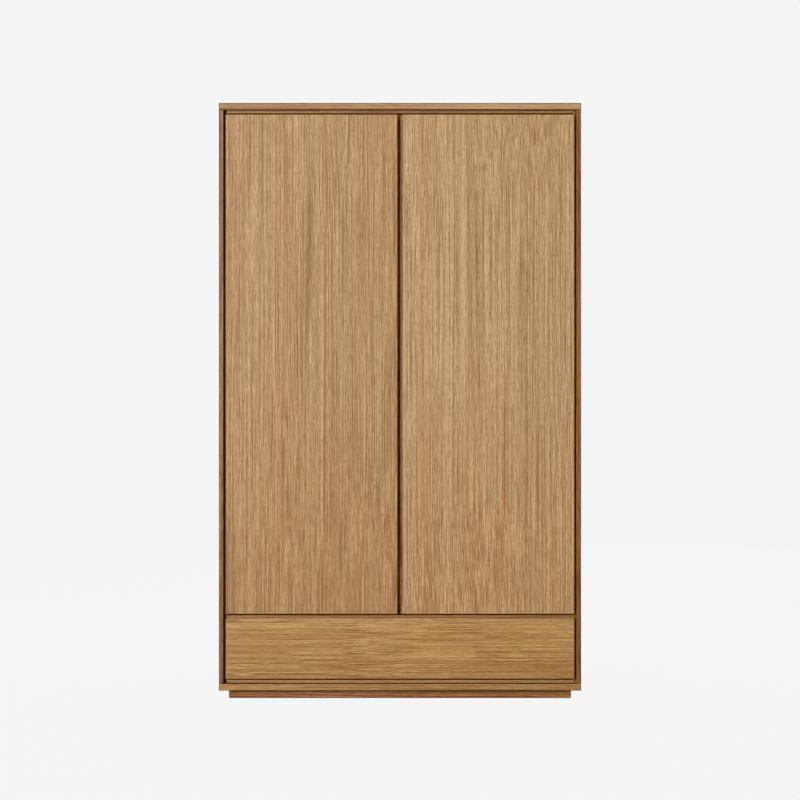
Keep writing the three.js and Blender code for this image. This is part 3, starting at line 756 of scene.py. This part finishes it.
def build_hinge_cup(side, tag):
    """Open cup in the door with its two flange screws."""
    door = f"{side}_door"
    fitting(f"hinge_cup_{tag}", door, NICKEL)
    low, high = box_of(f"hinge_cup_{tag}")
    middle = (low + high) / 2
    places = [(middle.x, high.y - SINK, middle.z + end * CUP_SCREW_REACH) for end in (-1, 1)]
    screws(f"cup_screws_{tag}", door, places, (0, 1, 0),
           HINGE_SCREW_RADIUS, CUP_SCREW_HEIGHT)


def build_hinge_plate(side, tag):
    """Mounting plate on the case side with its two screws."""
    sign = side_sign(side)
    fitting(f"hinge_plate_{tag}", "case", NICKEL, THIN_ROUNDING)
    low, high = box_of(f"hinge_plate_{tag}")
    middle = (low + high) / 2
    face_x = (low.x if sign > 0 else high.x) + sign * SINK
    places = [(face_x, middle.y, middle.z + end * PLATE_SCREW_REACH) for end in (-1, 1)]
    screws(f"plate_screws_{tag}", "case", places, (-sign, 0, 0),
           HINGE_SCREW_RADIUS, PLATE_SCREW_HEIGHT)


def build_hinge_arm(side, tag):
    """Arm on its plate, with two adjusting screws, the slot between them and the pins of its links."""
    sign = side_sign(side)
    fitting(f"hinge_arm_{tag}", "case", NICKEL, ARM_ROUNDING)
    low, high = box_of(f"hinge_plate_{tag}")
    z = (low.z + high.z) / 2
    face_x = sign * ARM_FACE_X
    places = [(face_x + sign * SINK, y, z) for y in ARM_SCREW_YS]
    screws(f"arm_screws_{tag}", "case", places, (-sign, 0, 0),
           ARM_SCREW_RADIUS, ARM_SCREW_HEIGHT, DARK_STEEL)
    # the slot is drawn as a dark steel strip set into the arm's face: painted shade for the opening
    slot = solid_box((face_x - ARM_SLOT_HALF_DEPTH, ARM_SLOT_YS[0], z - ARM_SLOT_HALF_HEIGHT),
                     (face_x + ARM_SLOT_HALF_DEPTH, ARM_SLOT_YS[1], z + ARM_SLOT_HALF_HEIGHT),
                     ARM_SLOT_ROUNDING)
    piece_from(slot, f"arm_slot_{tag}", "case", [DARK_STEEL])
    pin_x = sign * LINK_PIN_X
    pins = [
        rod((pin_x, y, z - half_length), (pin_x, y, z + half_length), radius, FITTING_ROUNDING)
        for y, half_length, radius in LINK_PINS
    ]
    piece_from(merge(pins), f"arm_pins_{tag}", "case", [DARK_STEEL])


def build_hinges():
    for side in SIDES:
        for level in LEVELS:
            tag = f"{side}_{level}"
            build_hinge_cup(side, tag)
            build_hinge_plate(side, tag)
            build_hinge_arm(side, tag)


def build_rail():
    fitting("clothes_rail", "case", RAIL_STEEL, TUBE_ROUNDING)
    for side in SIDES:
        fitting(f"rail_socket_{side}", "case", NICKEL, THIN_ROUNDING)
        low, high = box_of(f"rail_socket_{side}")
        middle = (low + high) / 2
        outward = side_sign(side)
        mouth_x = high.x if outward < 0 else low.x
        face_x = mouth_x + outward * (SOCKET_FLANGE_STEP + SINK)
        places = [(face_x, middle.y + along * SOCKET_SCREW_REACH, middle.z) for along in (-1, 1)]
        screws(f"socket_screws_{side}", "case", places, (-outward, 0, 0),
               SOCKET_SCREW_RADIUS, SOCKET_SCREW_HEIGHT)


def build_pins():
    for level in ("lower", "upper"):
        for place in ("inner_front", "inner_back", "outer_front", "outer_back"):
            fitting(f"{level}_pin_{place}", "case", NICKEL, THIN_ROUNDING)


def build_ball_cage(side):
    """Cage strip in the middle channel of a runner, with a row of bearing balls along both edges."""
    low, high = box_of(f"runner_middle_{side}")
    height = (low.z + high.z) / 2
    x = side_sign(side) * CAGE_X
    strip = solid_box((x - CAGE_HALF_THICKNESS, CAGE_START, height - CAGE_HALF_HEIGHT),
                      (x + CAGE_HALF_THICKNESS, CAGE_END, height + CAGE_HALF_HEIGHT), STRIP_ROUNDING)
    piece_from(strip, f"ball_cage_{side}", "runner_middles", [CAGE_PLASTIC])
    step = (CAGE_END - CAGE_START - 2 * CAGE_MARGIN) / (BALLS_PER_ROW - 1)
    balls = [
        ball((x, CAGE_START + CAGE_MARGIN + i * step, height + level * BALL_ROW_HEIGHT), BALL_RADIUS)
        for i in range(BALLS_PER_ROW)
        for level in (-1, 1)
    ]
    piece_from(merge(balls), f"ball_cage_{side}_balls", "runner_middles", [RAIL_STEEL])


def build_runners():
    for side in SIDES:
        fitting(f"runner_cabinet_{side}", "case", ZINC, THIN_ROUNDING)
        fitting(f"runner_middle_{side}", "runner_middles", ZINC, THIN_ROUNDING)
        fitting(f"runner_drawer_{side}", "drawer", ZINC, THIN_ROUNDING)
        build_ball_cage(side)


# ------------------------------------------------------------------ small details

FRONTS_BACK_Y = -0.277  # back face of the doors and of the drawer front
PAD_THICKNESS = 1.5 * MM
DOOR_PAD_XS = (0.03, 0.30)
DOOR_PAD_Z = 1.8595
DOOR_PAD_RADIUS = 4.5 * MM
DRAWER_PAD_X = 0.49
DRAWER_PAD_Z = 0.0708
DRAWER_PAD_RADIUS = 3.6 * MM

HOLE_STEP = 32 * MM  # between the bored holes of the loose shelves
HOLE_STEPS = (-3, -2, -1, 1, 2, 3)
HOLE_RADIUS = 2.6 * MM
HOLE_CAP = 0.25 * MM
HOLE_WALLS = {"inner": (0.0092, 1), "outer": (0.5568, -1)}  # wall's x and the way it faces

# strips of painted shadow in the gaps above and below the doors and the drawer front
SHADOW_STRIP_FRONT_Y, SHADOW_STRIP_BACK_Y = -0.2766, -0.2747
SHADOW_STRIP_HALF_LENGTH = 0.5545
SHADOW_STRIP_HEIGHTS = {
    "top": (1.8665, 1.8732),
    "middle": (0.2668, 0.2727),
    "bottom": (0.0596, 0.0657),
}

BACK_Y = 0.2999
NAIL_RADIUS = 2.8 * MM
NAIL_HEIGHT = 0.6 * MM
NAIL_XS = (0.0045, 0.5615)
NAIL_ZS = [0.060 + 0.140 * i for i in range(14)]
NAIL_ROW_XS = [0.08 + 0.09 * i for i in range(5)]
NAIL_ROW_ZS = (0.0385, 1.8925)


def discs(name, body, places, direction, radius, thickness, material):
    """One piece of equal round pads, each with a softly rounded rim."""
    rim = min(radius, thickness) * 0.4
    profile = [(0, 0), (radius, 0), (radius, thickness - rim), (radius - rim, thickness), (0, thickness)]
    pad = lathe(profile, 20)
    joined = bmesh.new()
    for place in places:
        add_copy(joined, pad, Matrix.Translation(place) @ turn_to(direction))
    pad.free()
    return piece_from(joined, name, body, [material])


def build_bumpers():
    """Soft pads between the doors and the top rail and between the drawer front and the bottom rail."""
    y = FRONTS_BACK_Y - SINK
    for side in SIDES:
        places = [(side_sign(side) * x, y, DOOR_PAD_Z) for x in DOOR_PAD_XS]
        discs(f"door_pads_{side}", f"{side}_door", places, (0, 1, 0),
              DOOR_PAD_RADIUS, PAD_THICKNESS, RUBBER)
    places = [(side_sign(side) * DRAWER_PAD_X, y, DRAWER_PAD_Z) for side in SIDES]
    discs("drawer_pads", "drawer", places, (0, 1, 0),
          DRAWER_PAD_RADIUS, PAD_THICKNESS, RUBBER)


def build_shelf_holes():
    """Rows of bored holes above and below the pins of the loose shelves, drawn as dark caps of painted
    shade for the holes' insides.
    """
    for wall, (x, facing) in HOLE_WALLS.items():
        places = []
        for level in ("lower", "upper"):
            for place in ("front", "back"):
                low, high = box_of(f"{level}_pin_inner_{place}")
                pin = (low + high) / 2
                places += [(x, pin.y, pin.z + k * HOLE_STEP) for k in HOLE_STEPS]
        discs(f"shelf_holes_{wall}", "case", places, (facing, 0, 0),
              HOLE_RADIUS, HOLE_CAP, HOLE_SHADE_CAP)


def build_shadow_strips():
    """Painted shadow: dark strips on the rails and the deck edge that stand in for the shadow lines in the
    gaps beside the closed fronts.
    """
    for name, (low, high) in SHADOW_STRIP_HEIGHTS.items():
        strip = solid_box((-SHADOW_STRIP_HALF_LENGTH, SHADOW_STRIP_FRONT_Y, low), (SHADOW_STRIP_HALF_LENGTH, SHADOW_STRIP_BACK_Y, high),
                          THIN_ROUNDING)
        piece_from(strip, f"shadow_line_{name}", "case", [SHADOW_STRIP_SHADER])


def build_nails():
    """Flat nail heads that hold the back boards, seen from behind."""
    for side in SIDES:
        sign = side_sign(side)
        places = [(sign * x, BACK_Y, z) for x in NAIL_XS for z in NAIL_ZS]
        places += [(sign * x, BACK_Y, z) for x in NAIL_ROW_XS for z in NAIL_ROW_ZS]
        discs(f"back_nails_{side}", "case", places, (0, 1, 0),
              NAIL_RADIUS, NAIL_HEIGHT, NICKEL)


# ------------------------------------------------------------------ stage, light, camera

def shown_only_to_camera(tree, seen, unseen):
    """Mixes two shaders: camera rays meet the first and all other rays the second."""
    path = tree.nodes.new("ShaderNodeLightPath")
    mix = tree.nodes.new("ShaderNodeMixShader")
    tree.links.new(path.outputs["Is Camera Ray"], mix.inputs["Fac"])
    tree.links.new(unseen, mix.inputs[1])
    tree.links.new(seen, mix.inputs[2])
    return mix.outputs[0]


def build_stage():
    """An even pale studio: the floor shows almost no shadow, and it bounces soft light."""
    graph = Graph("studio_floor", roughness=0.9, specular=0.0)
    graph.shader.inputs["Base Color"].default_value = FLOOR_SHADING
    graph.shader.inputs["Emission Color"].default_value = BACKDROP
    graph.shader.inputs["Emission Strength"].default_value = FLOOR_GLOW
    paint = graph.tree.nodes.new("ShaderNodeBsdfDiffuse")
    paint.inputs["Color"].default_value = FLOOR_PAINT
    output = graph.tree.nodes["Material Output"]
    lit = shown_only_to_camera(graph.tree, graph.shader.outputs[0], paint.outputs[0])
    graph.tree.links.new(lit, output.inputs["Surface"])

    bm = bmesh.new()
    bmesh.ops.create_grid(bm, x_segments=8, y_segments=8, size=FLOOR_REACH)
    mesh = bpy.data.meshes.new("studio_floor")
    bm.to_mesh(mesh)
    bm.free()
    mesh.materials.append(graph.material)
    floor = bpy.data.objects.new("studio_floor", mesh)
    bpy.context.scene.collection.objects.link(floor)

    world = bpy.data.worlds.new("studio")
    world.use_nodes = True
    tree = world.node_tree
    backdrop = tree.nodes["Background"]
    backdrop.inputs["Color"].default_value = BACKDROP
    ambient = tree.nodes.new("ShaderNodeBackground")
    ambient.inputs["Color"].default_value = (1.0, 1.0, 1.0, 1.0)
    ambient.inputs["Strength"].default_value = AMBIENT
    lit = shown_only_to_camera(tree, backdrop.outputs[0], ambient.outputs[0])
    tree.links.new(lit, tree.nodes["World Output"].inputs["Surface"])
    bpy.context.scene.world = world


def area_light(name, place, target, size, power):
    lamp = bpy.data.lights.new(name, "AREA")
    lamp.shape = "RECTANGLE"
    lamp.size, lamp.size_y = size
    lamp.energy = power
    light = bpy.data.objects.new(name, lamp)
    light.location = place
    light.rotation_euler = (Vector(target) - Vector(place)).to_track_quat("-Z", "Y").to_euler()
    bpy.context.scene.collection.objects.link(light)


# Name, place, target, size and power in watts of each lamp.
LAMPS = (
    ("key_light", (-3.6, -8.0, 1.9), (0, -0.3, 0.95), (0.8, 0.8), 438),
    ("high_light", (-3.8, -8.2, 3.1), (0, -0.3, 1.0), (1.2, 1.2), 185),
    ("top_light", (0.0, 1.2, 5.0), (0, 0.2, 1.0), (3.0, 3.0), 160),
    ("back_light", (1.5, 6.5, 2.6), (0, 0.3, 1.0), (3.0, 3.0), 170),
    ("left_light", (-5.5, 1.2, 2.0), (-0.6, 0.2, 1.0), (2.5, 2.5), 90),
    ("right_light", (5.5, 1.2, 2.0), (0.6, 0.2, 1.0), (2.5, 2.5), 90),
)


def build_light():
    """Two lamps at the front left; the others stand behind the front faces and leave them alone."""
    for lamp in LAMPS:
        area_light(*lamp)


SENSOR_WIDTH = 36.0
CAMERA_DISTANCE = 6.5  # from the front faces
CAMERA_HEIGHT = 0.9552
VIEW_WIDTH = 2.5515  # seen at the front faces


def build_camera():
    front_y = cad_box[0][1]
    camera_data = bpy.data.cameras.new("camera")
    camera_data.sensor_width = SENSOR_WIDTH
    camera_data.lens = SENSOR_WIDTH * CAMERA_DISTANCE / VIEW_WIDTH
    camera = bpy.data.objects.new("camera", camera_data)
    camera.location = (0.0, front_y - CAMERA_DISTANCE, CAMERA_HEIGHT)
    camera.rotation_euler = (math.pi / 2, 0.0, 0.0)
    bpy.context.scene.collection.objects.link(camera)
    bpy.context.scene.camera = camera


def plain_colours():
    bpy.context.scene.view_settings.view_transform = "Standard"
    bpy.context.scene.view_settings.look = "None"
    bpy.context.scene.view_settings.exposure = 0.0
    bpy.context.scene.view_settings.gamma = 1.0


build_case()
build_backs()
build_doors()
build_drawer()
build_hinges()
build_rail()
build_pins()
build_runners()
build_bumpers()
build_shelf_holes()
build_shadow_strips()
build_nails()
build_stage()
build_light()
build_camera()
plain_colours()
